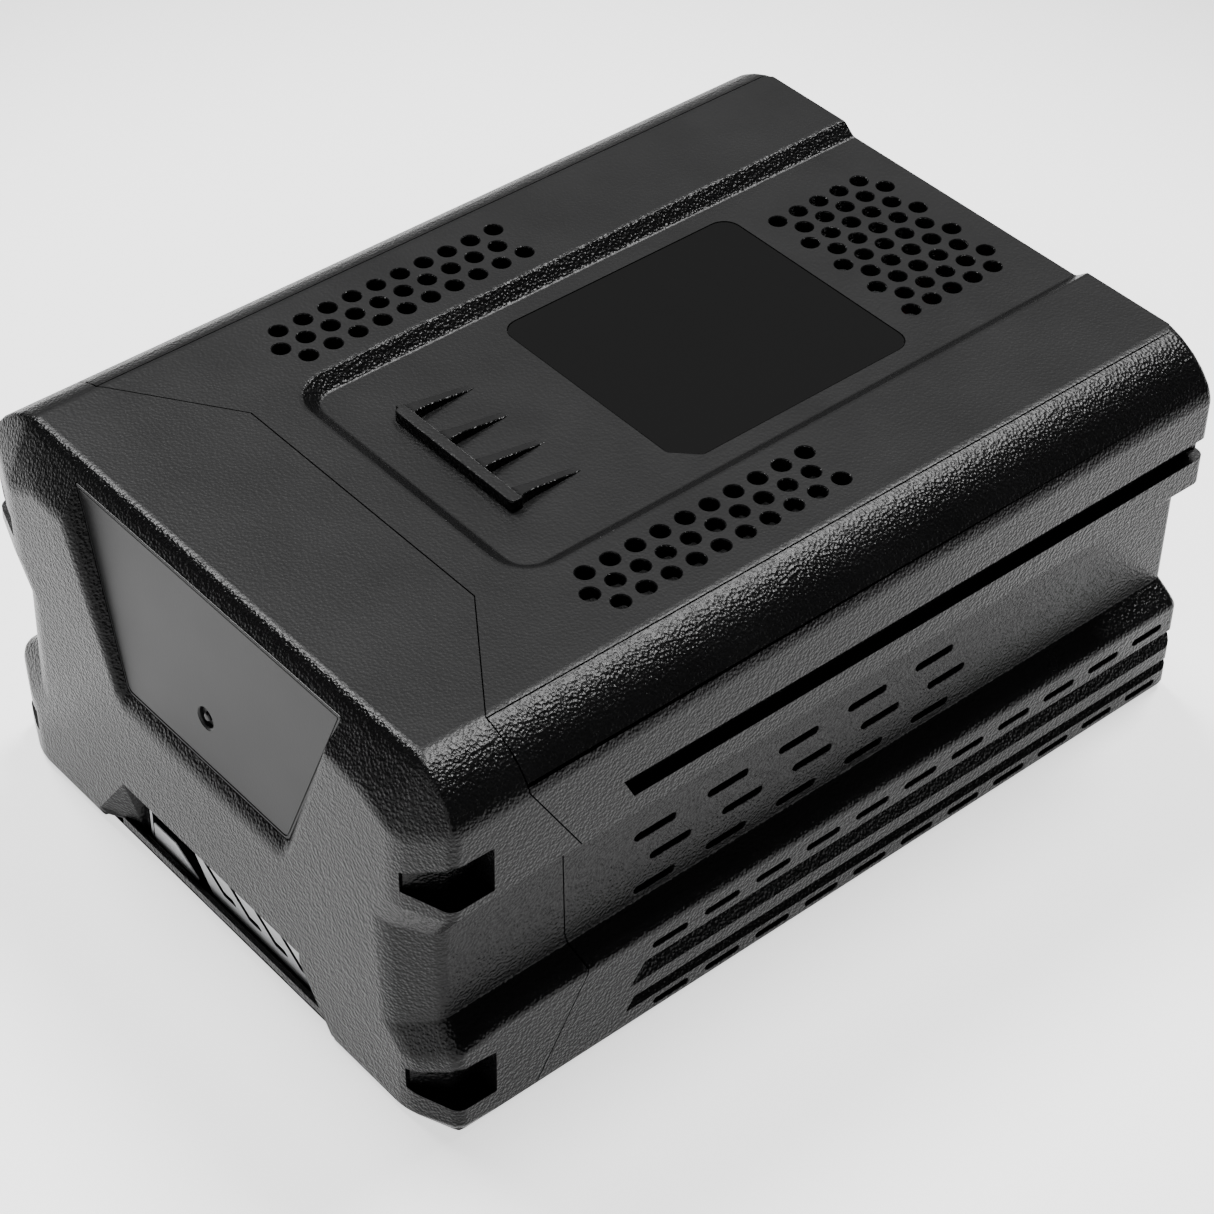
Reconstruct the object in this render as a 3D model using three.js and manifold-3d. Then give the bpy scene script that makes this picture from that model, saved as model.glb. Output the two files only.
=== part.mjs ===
// Slide-in lithium-ion battery pack for cordless garden tools.
// Millimetres, +Z up, front (charge gauge) faces -Y, terminal end faces +Y, origin at the centre of the base.
import * as THREE from "three";
import { mergeGeometries, mergeVertices } from "three/addons/utils/BufferGeometryUtils.js";
import Module from "manifold-3d";

const wasm = await Module();
wasm.setup();

// ---------- driving dimensions ----------
const LENGTH = 196;
const HALF_LENGTH = LENGTH / 2;
const HEIGHT = 87.6;
const HALF_SKIRT = 71.4; // half-width of the skirt and of the upper body
const HALF_WAIST = 66; // half-width of the waist between them
const HALF_TOP = 58.4; // half-width of the flat top
const HALF_PLATE = 59.2; // half-width of the top cover, out to its seams
const WALL = 2.5;
const SEAM = 0.3; // gap between neighbouring pieces
const CORNER = 2.2; // radius of the rear vertical corners
const FAR = 120; // beyond every side of the pack, for the ends of cuts

const SKIRT_TOP = 24; // where the skirt wall ends
const WAIST_FOOT = 27.2; // where the shoulder meets the waist
const CREASE = 57.3; // lower edge of the upper body
const CREASE_FALL = 0.0128; // fall of that edge per millimetre towards the rear
const WALL_TOP = 75; // where the long top edges start to round over
const BROW = 77.6; // top of the vertical front face
const BROW_LEAN = 0.63; // setback of the sloped brow per millimetre of height

const CAVITY_FLOOR = 2.5;
const CAVITY_FRONT = -90.5;
const CAVITY_REAR = HALF_LENGTH - WALL;
const CAVITY_ROOF = 82.6;

const RECESS_FLOOR = 85; // floor of the shallow channel along the top
const RECESS_HALF = 33.2;
const RECESS_SLOPE = 1.8; // width of the channel's sloped edge
const RECESS_FRONT = -47.2;

const VENT_PITCH = 6;
const VENT_RADIUS = 1.8;
const VENT_START = -39.5;

const CELL_RADIUS = 9.2;
const CELL_PITCH = 20;
const CELL_LENGTH = 65;
const CELL_COLUMNS = 5; // across the pack
const PAIRS_PER_COLUMN = 4; // along the pack
const CELLS_CENTRE_Y = -2;
const CELLS_FOOT = 4;

const GAUGE_FACE = -93.5;
const GAUGE_HALF = 28;
const GAUGE_FOOT = 1.7;
const GAUGE_HEAD = 15;

// ---------- materials ----------
function finish(color, roughness, metalness) {
  return new THREE.MeshStandardMaterial({ color, roughness, metalness });
}
const blackShell = finish(0x2a2a2b, 0.55, 0);
const satinPanel = finish(0x343435, 0.35, 0);
const labelBlack = finish(0x1c1c1d, 0.5, 0);
const gaugeGrey = finish(0xa9abac, 0.4, 0);
const windowGrey = finish(0xc4c8c9, 0.25, 0);
const boardGreen = finish(0x1f4a2c, 0.5, 0);
const nylonBlack = finish(0x161617, 0.6, 0);
const holderGrey = finish(0x4a4d50, 0.6, 0);
const cellSleeve = finish(0x2f6f8f, 0.4, 0);
const brass = finish(0xb5913f, 0.3, 1);
const zincSteel = finish(0x9a9da0, 0.35, 1);
const foamGrey = finish(0x3c3e40, 0.95, 0);
const leadRed = finish(0xa32020, 0.5, 0);
const leadBlack = finish(0x141414, 0.5, 0);

// ---------- geometry helpers ----------
// A closed geometry as a solid, its shared vertices merged.
function solid(geometry) {
  const bare = new THREE.BufferGeometry();
  bare.setAttribute("position", geometry.getAttribute("position"));
  if (geometry.index) bare.setIndex(geometry.index);
  const merged = mergeVertices(bare, 1e-4);
  return new wasm.Manifold(
    new wasm.Mesh({
      numProp: 3,
      vertProperties: new Float32Array(merged.attributes.position.array),
      triVerts: new Uint32Array(merged.index.array),
    }),
  );
}

// Several closed geometries that don't touch, as one solid.
function solids(geometries) {
  const bare = geometries.map((geometry) => geometry.toNonIndexed().deleteAttribute("uv"));
  return solid(mergeGeometries(bare));
}

function boxGeometry(x0, x1, y0, y1, z0, z1) {
  const block = new THREE.BoxGeometry(x1 - x0, y1 - y0, z1 - z0);
  return block.translate((x0 + x1) / 2, (y0 + y1) / 2, (z0 + z1) / 2);
}
const box = (...sides) => solid(boxGeometry(...sides));

const extruded = (points, depth) =>
  new THREE.ExtrudeGeometry(new THREE.Shape(points.map(([u, v]) => new THREE.Vector2(u, v))), {
    depth,
    bevelEnabled: false,
  });

const turn = new THREE.Matrix4();
const [AXIS_X, AXIS_Y, AXIS_Z] = [
  new THREE.Vector3(1, 0, 0),
  new THREE.Vector3(0, 1, 0),
  new THREE.Vector3(0, 0, 1),
];
// Prisms: an outline in (y, z) run along X, in (x, z) run along Y, and in (x, y) run along Z.
const prismXGeometry = (outline, x0, x1) =>
  extruded(outline, x1 - x0)
    .applyMatrix4(turn.makeBasis(AXIS_Y, AXIS_Z, AXIS_X))
    .translate(x0, 0, 0);
const prismYGeometry = (outline, y0, y1) =>
  extruded(outline.map(([x, z]) => [z, x]), y1 - y0)
    .applyMatrix4(turn.makeBasis(AXIS_Z, AXIS_X, AXIS_Y))
    .translate(0, y0, 0);
const prismZGeometry = (outline, z0, z1) => extruded(outline, z1 - z0).translate(0, 0, z0);
const prismX = (...a) => solid(prismXGeometry(...a));
const prismY = (...a) => solid(prismYGeometry(...a));
const prismZ = (...a) => solid(prismZGeometry(...a));

function cylinderZGeometry(x, y, z0, z1, radius, sides) {
  const upright = new THREE.CylinderGeometry(radius, radius, z1 - z0, sides).rotateX(Math.PI / 2);
  return upright.translate(x, y, (z0 + z1) / 2);
}

// A closed skin through rings of [x, y, z] points, each ring anticlockwise seen from its far side.
function loft(rings) {
  const count = rings[0].length;
  const indices = [];
  for (let r = 0; r + 1 < rings.length; r += 1) {
    for (let i = 0; i < count; i += 1) {
      const a = r * count + i;
      const b = r * count + ((i + 1) % count);
      indices.push(a, b, b + count, a, b + count, a + count);
    }
  }
  const last = (rings.length - 1) * count;
  for (let i = 1; i + 1 < count; i += 1) {
    indices.push(0, i + 1, i, last, last + i, last + i + 1);
  }
  const geometry = new THREE.BufferGeometry();
  geometry.setAttribute("position", new THREE.Float32BufferAttribute(rings.flat(2), 3));
  geometry.setIndex(indices);
  return solid(geometry);
}

const mirrored = (outline) => outline.map(([x, y]) => [-x, y]);
const bothSides = (half) => half.add(half.mirror([1, 0, 0]));
const allOf = (list) => list.reduce((sum, s) => sum.add(s));

const pack = new THREE.Group();
function addPiece(name, piece, material) {
  const { vertProperties, triVerts } = piece.getMesh();
  const geometry = new THREE.BufferGeometry();
  geometry.setAttribute("position", new THREE.BufferAttribute(vertProperties, 3));
  geometry.setIndex(new THREE.BufferAttribute(triVerts, 1));
  geometry.computeVertexNormals();
  const mesh = new THREE.Mesh(geometry, material);
  mesh.name = name;
  pack.add(mesh);
}

// ---------- the outer body ----------
// One level of the body: its half-width, and its front corner from the end of the flat front (flat, front)
// through a knee to the side wall.
function bodyRing(z, half, flat, front, knee, cheek, sideStart, cornerDrop = 0, fall = 0) {
  const rear = HALF_LENGTH;
  const right = [
    [flat, front, z - cornerDrop],
    [...knee, z - cornerDrop],
    [...cheek, z],
    [half, sideStart, z],
    [half, rear - CORNER, z],
    [half - CORNER * 0.3, rear - CORNER * 0.3, z],
    [half - CORNER, rear, z],
  ];
  const left = right.map(([x, y, h]) => [-x, y, h]).reverse();
  return [...right, ...left].map(([x, y, h]) => [x, y, h - fall * y]);
}

const browFront = (z) => -HALF_LENGTH + BROW_LEAN * (z - BROW);
const skirtCorner = [59.4, -98, [66, -96.4], [70.6, -93], -88.5];
const waistCorner = [56.4, -98, [60.6, -95.6], [64.6, -92.4], -89.5];
const upperCorner = [59.7, -98, [65.2, -95.8], [70.4, -93.1], -90];
const outerBody = loft([
  bodyRing(0, HALF_SKIRT - 1, 58.8, -97.4, [65.4, -95.8], [69.8, -92.6], -88.5),
  bodyRing(1.2, HALF_SKIRT, ...skirtCorner),
  bodyRing(SKIRT_TOP, HALF_SKIRT, ...skirtCorner),
  bodyRing(WAIST_FOOT, HALF_WAIST, ...waistCorner),
  bodyRing(CREASE - 0.6, HALF_WAIST, ...waistCorner, 2.6, CREASE_FALL),
  bodyRing(CREASE, HALF_SKIRT, ...upperCorner, 0, CREASE_FALL),
  bodyRing(72, HALF_SKIRT, ...upperCorner),
  bodyRing(WALL_TOP, HALF_SKIRT, 46, -98, [57.6, -96.8], [69.6, -92.6], -89),
  bodyRing(78, 70.8, 43, browFront(78), [55.4, -95.8], [68.4, -91.8], -88.6),
  bodyRing(81.2, 68.8, 43, browFront(81.2), [55.6, -94.4], [66.4, -91], -88.6),
  bodyRing(84.4, 65, 43, browFront(84.4), [56, -93], [63.2, -90.6], -88.6),
  bodyRing(86.9, 60.8, 43, browFront(86.9), [56.4, -91.8], [59.8, -90.4], -88.8),
  bodyRing(HEIGHT, HALF_TOP, 43, browFront(HEIGHT), [56, -91.5], [57.6, -90.8], -89.6),
]);

// ---------- the space inside ----------
const CAVITY_CHAMFER = 16;
function cavityRing(z, half) {
  const right = [
    [half - CAVITY_CHAMFER, CAVITY_FRONT, z],
    [half, CAVITY_FRONT + CAVITY_CHAMFER, z],
    [half, CAVITY_REAR, z],
  ];
  return [...right, ...right.map(([x, y, h]) => [-x, y, h]).reverse()];
}
const HALF_CAVITY = 66.2;
const cavity = loft([
  cavityRing(CAVITY_FLOOR, HALF_CAVITY),
  cavityRing(SKIRT_TOP - WALL, HALF_CAVITY),
  cavityRing(SKIRT_TOP, HALF_WAIST - WALL),
  cavityRing(CREASE + WALL, HALF_WAIST - WALL),
  cavityRing(CREASE + WALL + 0.2, HALF_CAVITY),
  cavityRing(WALL_TOP, HALF_CAVITY),
  cavityRing(79, 63.4),
  cavityRing(CAVITY_ROOF, 57),
]);
const underStrips = bothSides(box(37, 56, RECESS_FRONT + 1, CAVITY_REAR, CAVITY_ROOF - 1, 85.2));

// ---------- cuts in the outside ----------
// The channel along the top, open at the rear, with rounded front corners.
const RECESS_CORNER = 7;
function channelRing(z, half, front) {
  const rounded = [0, 0.5, 1].map((t) => {
    const angle = (t * Math.PI) / 2;
    return [half - RECESS_CORNER * (1 - Math.sin(angle)), front + RECESS_CORNER * (1 - Math.cos(angle)), z];
  });
  const right = [...rounded, [half, HALF_LENGTH + 5, z]];
  return [...right, ...right.map(([x, y, h]) => [-x, y, h]).reverse()];
}
const CHANNEL_TOP = HEIGHT + 1;
const slopeAt = (z) => (RECESS_SLOPE * (z - RECESS_FLOOR)) / (HEIGHT - RECESS_FLOOR);
const channel = loft([
  channelRing(RECESS_FLOOR, RECESS_HALF, RECESS_FRONT),
  channelRing(CHANNEL_TOP, RECESS_HALF + slopeAt(CHANNEL_TOP), RECESS_FRONT - slopeAt(CHANNEL_TOP) / 2),
]);

// The label bed in the channel's floor, with one clipped corner.
const LABEL_HALF = 27.6;
const LABEL_FRONT = -3.5;
const LABEL_REAR = 57;
const LABEL_CLIP = 5;
function labelOutline(inset) {
  const [half, front, rear] = [LABEL_HALF - inset, LABEL_FRONT + inset, LABEL_REAR - inset];
  const small = 2;
  return [
    [-half + small, front],
    [half - LABEL_CLIP, front],
    [half, front + LABEL_CLIP],
    [half, rear - small],
    [half - small, rear],
    [-half + small, rear],
    [-half, rear - small],
    [-half, front + small],
  ];
}
const LABEL_BED = 84;
const labelBed = prismZ(labelOutline(0), LABEL_BED, HEIGHT);

// Vent holes: two mirrored groups of three rows on the strips, and one group of nine rows in the channel.
const VENT_ROWS = [51.4, 46.4, 41.4];
const REAR_VENT_START = 64.1;
const REAR_VENT_PITCH = 5.78;
const REAR_ROW_PITCH = 4.9;
const vent = (x, y) => cylinderZGeometry(x, y, CAVITY_ROOF - 2, HEIGHT + 1, VENT_RADIUS, 6);
const ventGeometries = [];
for (let k = 0; k < 10; k += 1) {
  VENT_ROWS.forEach((x, row) => {
    const y = VENT_START + VENT_PITCH * k - (row === 1 ? VENT_PITCH / 2 : 0);
    ventGeometries.push(vent(x, y), vent(-x, y));
  });
}
for (let row = -4; row <= 4; row += 1) {
  for (let k = 0; k < 5; k += 1) {
    const y = REAR_VENT_START + REAR_VENT_PITCH * (k + (row % 2 === 0 ? 0 : 0.5));
    ventGeometries.push(vent(row * REAR_ROW_PITCH, y));
  }
}
const vents = solids(ventGeometries);

// Side slots: three short rows in the waist and two long rows in the skirt.
const WAIST_SLOT_ROWS = [
  [-42.6, 43.9],
  [-38.6, 36.8],
  [-42.4, 29.8],
];
const slotGeometries = [];
function slotRow(first, z, pitch, count, length, height, inner) {
  for (let k = 0; k < count; k += 1) {
    const y = first + pitch * k;
    const sides = [y - length / 2, y + length / 2, z - height / 2, z + height / 2];
    slotGeometries.push(boxGeometry(inner, HALF_SKIRT + 2, ...sides));
  }
}
WAIST_SLOT_ROWS.forEach(([first, z]) => slotRow(first, z, 18, 5, 10.2, 1.8, HALF_WAIST - 2 * WALL));
const SKIRT_SLOT_PITCH = 13.15;
const SKIRT_SLOTS = 11;
slotRow(-42.7, 19.3, SKIRT_SLOT_PITCH, SKIRT_SLOTS, 8.8, 1.5, HALF_CAVITY - 2);
slotRow(-42, 3.2, SKIRT_SLOT_PITCH, SKIRT_SLOTS, 8.8, 1.4, HALF_CAVITY - 2);
const sideSlots = bothSides(solids(slotGeometries));

// Guide groove in the upper wall and two stepped grooves in the skirt, all open at the rear.
const GROOVE_DEPTH = 2.7;
const GUIDE_FOOT = 62.8;
const GUIDE_HEAD = 67.6;
const REAR_OPEN = HALF_LENGTH + 5;
const guideGroove = prismX(
  [
    [-52.8, GUIDE_FOOT],
    [REAR_OPEN, GUIDE_FOOT],
    [REAR_OPEN, GUIDE_HEAD],
    [-55.5, GUIDE_HEAD],
  ],
  HALF_SKIRT - GROOVE_DEPTH,
  HALF_SKIRT + 5,
);
const skirtGroove = (top, foot, depth) =>
  prismY(
    [
      [HALF_SKIRT - depth, top],
      [HALF_SKIRT - depth, top - 1],
      [HALF_SKIRT + 0.4, foot],
      [HALF_SKIRT + 5, foot],
      [HALF_SKIRT + 5, top],
    ],
    -70,
    REAR_OPEN,
  );
const grooveReach = prismX(
  [
    [-54.9, -5],
    [REAR_OPEN, -5],
    [REAR_OPEN, 20],
    [-47.4, 20],
  ],
  HALF_WAIST - 5,
  HALF_SKIRT + 6,
);
const skirtGrooves = skirtGroove(16.3, 11.5, GROOVE_DEPTH).add(skirtGroove(8.2, 5.2, 1.9));
const grooves = bothSides(skirtGrooves.intersect(grooveReach).add(guideGroove));

// The wedge-shaped pockets round the four front corners.
const pocketOutline = [
  [60.2, -102],
  [80, -102],
  [80, -84.6],
  [66.2, -84.6],
  [60.8, -91.6],
];
const cornerPockets = bothSides(prismZ(pocketOutline, 60, 70).add(prismZ(pocketOutline, 7.6, 17.2)));

// The tapered recess for the front panel, leaning back with the panel.
const PANEL_FOOT = 43.4;
const PANEL_HEAD = 84.4;
const panelPlane = (z) => -96.4 + 0.0622 * (z - PANEL_FOOT);
const panelHalf = (z) => 25.9 + 0.373 * (z - PANEL_FOOT);
const PANEL_THICKNESS = 1.2;
function panelRing(foot, head, grow, y) {
  return [
    [-panelHalf(foot) - grow, y(foot), foot],
    [panelHalf(foot) + grow, y(foot), foot],
    [panelHalf(head) + grow, y(head), head],
    [-panelHalf(head) - grow, y(head), head],
  ];
}
const panelRecess = loft([
  panelRing(PANEL_FOOT, PANEL_HEAD + SEAM, 0, (z) => panelPlane(z) + PANEL_THICKNESS + SEAM),
  panelRing(PANEL_FOOT, PANEL_HEAD + SEAM, 0, panelPlane),
  panelRing(35, PANEL_HEAD + SEAM, 5, () => -100.4),
]);
const frontPanelBlank = loft([
  panelRing(PANEL_FOOT + SEAM, PANEL_HEAD, -SEAM, (z) => panelPlane(z) + PANEL_THICKNESS),
  panelRing(PANEL_FOOT + SEAM, PANEL_HEAD, -SEAM, panelPlane),
]);
const GATE_HEIGHT = 55.2;
const gateMark = solid(
  new THREE.CylinderGeometry(1.5, 1.5, 1.4, 12).translate(0, panelPlane(GATE_HEIGHT), GATE_HEIGHT),
);

// The gauge recess low in the front: a scoop with sloped ends, a lip along the base, and the opening behind.
const gaugeScoop = loft([
  [
    [-29.4, GAUGE_FACE - 0.2, 1.2],
    [29.4, GAUGE_FACE - 0.2, 1.2],
    [29.4, GAUGE_FACE - 0.2, 15.6],
    [-29.4, GAUGE_FACE - 0.2, 15.6],
  ],
  [
    [-41, -98.8, 1.2],
    [41, -98.8, 1.2],
    [29, -98.8, 17.4],
    [-29, -98.8, 17.4],
  ],
]);
const gaugeLip = box(-39, 39, -102, -95.8, -2, 2);
const gaugeOpening = box(-GAUGE_HALF, GAUGE_HALF, -96, -85, GAUGE_FOOT, GAUGE_HEAD);

// The rear socket that the tool's contact block enters.
const SOCKET_HALF = 34;
const SOCKET_FOOT = 34;
const SOCKET_HEAD = 54;
const socket = box(-SOCKET_HALF, SOCKET_HALF, CAVITY_REAR - 5, REAR_OPEN, SOCKET_FOOT, SOCKET_HEAD);

// Four screws go up through bosses in the base into pillars that hang from the top cover.
const SCREW_X = 55.6;
const SCREW_ENDS = [-50, 86];
const BOSS_HEIGHT = 12;
const SCREW_LENGTH = 20;
const HEAD_HEIGHT = 2.4;
const screwPlaces = SCREW_ENDS.flatMap((y) => [
  [-SCREW_X, y],
  [SCREW_X, y],
]);
const atScrews = (z0, z1, radius, sides) =>
  solids(screwPlaces.map(([x, y]) => cylinderZGeometry(x, y, z0, z1, radius, sides)));
const screwBosses = atScrews(1, BOSS_HEIGHT, 3.8, 10);
const screwBores = atScrews(-1, BOSS_HEIGHT + 1, 1.9, 8);
const screwSinks = atScrews(-1, HEAD_HEIGHT + SEAM, 3.3, 10);
const screwPillars = atScrews(BOSS_HEIGHT + SEAM, CAVITY_ROOF + 1.5, 3.4, 10);
const pillarBores = atScrews(BOSS_HEIGHT - 1, SCREW_LENGTH + 2, 1.9, 8);
const screw = (x, y) =>
  solid(cylinderZGeometry(x, y, SEAM, HEAD_HEIGHT, 3, 10)).add(
    solid(cylinderZGeometry(x, y, HEAD_HEIGHT - 0.5, SCREW_LENGTH, 1.6, 8)),
  );

// ---------- the housing pieces ----------
// The side seam in (y, z), and the chevron seam across the top in (x, y).
const SIDE_SEAM = [
  [-76.6, 95],
  [-76.6, 78.2],
  [-65, 58.5],
  [-64.2, 30],
  [-62.6, 23.7],
  [-75.6, 1],
  [-75.6, -5],
];
const CHEVRON_SIDE = -76.6;
const CHEVRON_TIP = -58.7;
const CHEVRON_HALF = 33.8;
const PLATE_UNDERSIDE = 80.6;

const frontPart = (shift) =>
  prismX([[-FAR, 95], [-FAR, -5], ...SIDE_SEAM.map(([y, z]) => [y + shift, z]).reverse()], -FAR, FAR);
const frontTop = (shift) => {
  const right = [
    [FAR, -FAR],
    [FAR, CHEVRON_SIDE + shift],
    [HALF_PLATE, CHEVRON_SIDE + shift],
    [CHEVRON_HALF, CHEVRON_TIP + shift],
  ];
  return prismZ([...right, ...mirrored(right).reverse()], PLATE_UNDERSIDE, 95);
};
const plateZone = (grow) => box(-HALF_PLATE - grow, HALF_PLATE + grow, -FAR, FAR, PLATE_UNDERSIDE - grow, 95);

const shell = outerBody.subtract(cavity).subtract(underStrips).subtract(channel).subtract(grooves);

const frontCover = shell
  .intersect(frontPart(-SEAM / 2).add(frontTop(-SEAM / 2).intersect(plateZone(0))))
  .subtract(panelRecess)
  .subtract(cornerPockets)
  .subtract(gaugeScoop)
  .subtract(gaugeLip)
  .subtract(gaugeOpening);
addPiece("front_cover", frontCover, blackShell);

const mainHousing = shell
  .subtract(frontPart(SEAM / 2))
  .subtract(plateZone(SEAM))
  .add(screwBosses)
  .subtract(screwBores)
  .subtract(screwSinks)
  .subtract(sideSlots)
  .subtract(socket);
addPiece("main_housing", mainHousing, blackShell);

// The latch catch on the channel's floor: a cross bar with four tapered ribs behind it.
const CATCH_FRONT = -37.4;
const CATCH_HALF = 18;
const CATCH_HEIGHT = 2.4;
const catchBar = prismX(
  [
    [CATCH_FRONT, RECESS_FLOOR - 0.5],
    [CATCH_FRONT + 2.6, RECESS_FLOOR - 0.5],
    [CATCH_FRONT + 2, RECESS_FLOOR + CATCH_HEIGHT],
    [CATCH_FRONT + 0.5, RECESS_FLOOR + CATCH_HEIGHT],
  ],
  -CATCH_HALF,
  CATCH_HALF,
);
const catchRib = (x) =>
  prismX(
    [
      [CATCH_FRONT + 1, RECESS_FLOOR - 0.5],
      [CATCH_FRONT + 22, RECESS_FLOOR - 0.5],
      [CATCH_FRONT + 19, RECESS_FLOOR],
      [CATCH_FRONT + 1.6, RECESS_FLOOR + CATCH_HEIGHT - 0.1],
    ],
    x - 1.1,
    x + 1.1,
  );
const CATCH_RIBS = [-16.2, -5.4, 5.4, 16.2];
const topCover = shell
  .intersect(plateZone(0))
  .subtract(frontTop(SEAM / 2))
  .subtract(labelBed)
  .add(catchBar)
  .add(allOf(CATCH_RIBS.map(catchRib)))
  .add(screwPillars)
  .subtract(vents)
  .subtract(pillarBores);
addPiece("top_cover", topCover, blackShell);

addPiece("label_plate", prismZ(labelOutline(SEAM), LABEL_BED + SEAM, LABEL_BED + 0.9), labelBlack);
addPiece("front_panel", frontPanelBlank.subtract(gateMark), satinPanel);

// ---------- the charge gauge ----------
const PLATE_BACK = GAUGE_FACE + 2;
const buttonHole = [
  [-26.9, GAUGE_FOOT - 2],
  [-6.3, GAUGE_FOOT - 2],
  [-6.3, GAUGE_FOOT],
  [-13.3, 9.8],
  [-26.9, 9.3],
];
const buttonOutline = [
  [-26.3, GAUGE_FOOT + SEAM],
  [-10.2, GAUGE_FOOT + SEAM],
  [-18.6, 5.8],
  [-26.3, 5.8],
];
const WINDOW_FOOT = 3.6;
const WINDOW_HEAD = 8.8;
const WINDOW_LEAN = -1.45;
const WINDOW_WIDTH = 4.8;
const WINDOW_PITCH = 8.5;
const WINDOW_START = -2.8;
function windowOutline(index, inset) {
  const x = WINDOW_START + WINDOW_PITCH * index;
  const [foot, head] = [WINDOW_FOOT + inset, WINDOW_HEAD - inset];
  const at = (z) => x + WINDOW_LEAN * (z - WINDOW_FOOT);
  const side = inset * 1.8;
  return [
    [at(foot) + side, foot],
    [at(foot) + WINDOW_WIDTH - side, foot],
    [at(head) + WINDOW_WIDTH - side, head],
    [at(head) + side, head],
  ];
}
const windowIndices = [0, 1, 2, 3];
const fasciaOutline = [
  [-GAUGE_HALF + SEAM, GAUGE_FOOT + SEAM],
  [GAUGE_HALF - SEAM, GAUGE_FOOT + SEAM],
  [GAUGE_HALF - SEAM, GAUGE_HEAD - SEAM],
  [-GAUGE_HALF + SEAM, GAUGE_HEAD - SEAM],
];
const fascia = prismY(fasciaOutline, GAUGE_FACE, PLATE_BACK)
  .subtract(prismY(buttonHole, GAUGE_FACE - 1, PLATE_BACK + 1))
  .subtract(allOf(windowIndices.map((i) => prismY(windowOutline(i, 0), GAUGE_FACE - 1, PLATE_BACK + 1))));
addPiece("gauge_panel", fascia, gaugeGrey);
windowIndices.forEach((i) => {
  const lens = prismY(windowOutline(i, SEAM), GAUGE_FACE + 0.4, PLATE_BACK + 0.6);
  addPiece("gauge_window_" + (i + 1), lens, windowGrey);
});
const BUTTON_TRAVEL = 0.8;
const SWITCH_FACE = -90.6;
const buttonStem = box(-21, -19, GAUGE_FACE + 1, SWITCH_FACE - BUTTON_TRAVEL - 0.1, 3, 5);
const buttonCap = prismY(buttonOutline, GAUGE_FACE - 0.3, PLATE_BACK - 0.3);
addPiece("gauge_button", buttonCap.add(buttonStem), gaugeGrey);
addPiece("gauge_switch", box(-23, -17, SWITCH_FACE, SWITCH_FACE + 1, 3, 9), nylonBlack);
addPiece("gauge_board", box(-27, 27, SWITCH_FACE + 1.3, SWITCH_FACE + 2.9, 3, 14.5), boardGreen);

// ---------- the cell block ----------
const CELL_HEAD = CELLS_FOOT + CELL_LENGTH;
const HOLDER_HALF_X = (CELL_COLUMNS * CELL_PITCH) / 2 + 1.5;
const HOLDER_HALF_Y = PAIRS_PER_COLUMN * CELL_PITCH + 2;
const HOLDER_THICKNESS = 5;
const HOLDER_SETBACK = 2; // from the cells' ends to the holder
const CELL_SIDES = 12;
const CELL_CLEARANCE = 0.4;
const STRIP_HALF = 3;
const STRIP_RISE = 0.2;
const pairPlaces = [];
for (let column = 0; column < CELL_COLUMNS; column += 1) {
  for (let pair = 0; pair < PAIRS_PER_COLUMN; pair += 1) {
    pairPlaces.push([
      (column - (CELL_COLUMNS - 1) / 2) * CELL_PITCH,
      CELLS_CENTRE_Y + (pair - (PAIRS_PER_COLUMN - 1) / 2) * 2 * CELL_PITCH,
    ]);
  }
}
const cellsOf = ([x, y], radius, z0, z1) =>
  [-1, 1].map((end) => cylinderZGeometry(x, y + (end * CELL_PITCH) / 2, z0, z1, radius, CELL_SIDES));

// Two cells side by side, with the nickel strips welded across their ends.
function cellPair([x, y]) {
  const reach = CELL_PITCH / 2 + 4;
  const strip = (z0, z1) => box(x - STRIP_HALF, x + STRIP_HALF, y - reach, y + reach, z0, z1);
  return solids(cellsOf([x, y], CELL_RADIUS, CELLS_FOOT, CELL_HEAD))
    .add(strip(CELLS_FOOT - STRIP_RISE, CELLS_FOOT + 0.1))
    .add(strip(CELL_HEAD - 0.1, CELL_HEAD + STRIP_RISE));
}
pairPlaces.forEach((place, index) => {
  addPiece("cell_pair_" + String(index + 1).padStart(2, "0"), cellPair(place), cellSleeve);
});

function blockSlab(z0, z1) {
  const [front, rear] = [CELLS_CENTRE_Y - HOLDER_HALF_Y, CELLS_CENTRE_Y + HOLDER_HALF_Y];
  return box(-HOLDER_HALF_X, HOLDER_HALF_X, front, rear, z0, z1);
}
const cellHolder = (z0) =>
  blockSlab(z0, z0 + HOLDER_THICKNESS).subtract(
    solids(pairPlaces.flatMap((place) => cellsOf(place, CELL_RADIUS + CELL_CLEARANCE, z0 - 1, z0 + 10))),
  );

// Posts between the cells carry the control board above them.
const BOARD_POSTS = [
  [-30, 18],
  [30, 18],
  [-30, 58],
  [30, 58],
];
const BOARD_FOOT = 74;
const UPPER_HOLDER_HEAD = CELL_HEAD - HOLDER_SETBACK;
function atPosts(z0, z1, radius) {
  return solids(BOARD_POSTS.map(([x, y]) => cylinderZGeometry(x, y, z0, z1, radius, 8)));
}
addPiece("lower_cell_holder", cellHolder(CELLS_FOOT + HOLDER_SETBACK), holderGrey);
const boardPosts = atPosts(UPPER_HOLDER_HEAD - 1, BOARD_FOOT - SEAM, 2.6);
addPiece("upper_cell_holder", cellHolder(UPPER_HOLDER_HEAD - HOLDER_THICKNESS).add(boardPosts), holderGrey);
addPiece("lower_insulator", blockSlab(2.8, CELLS_FOOT - STRIP_RISE - SEAM), foamGrey);
const INSULATOR_FOOT = CELL_HEAD + STRIP_RISE + SEAM;
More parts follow.
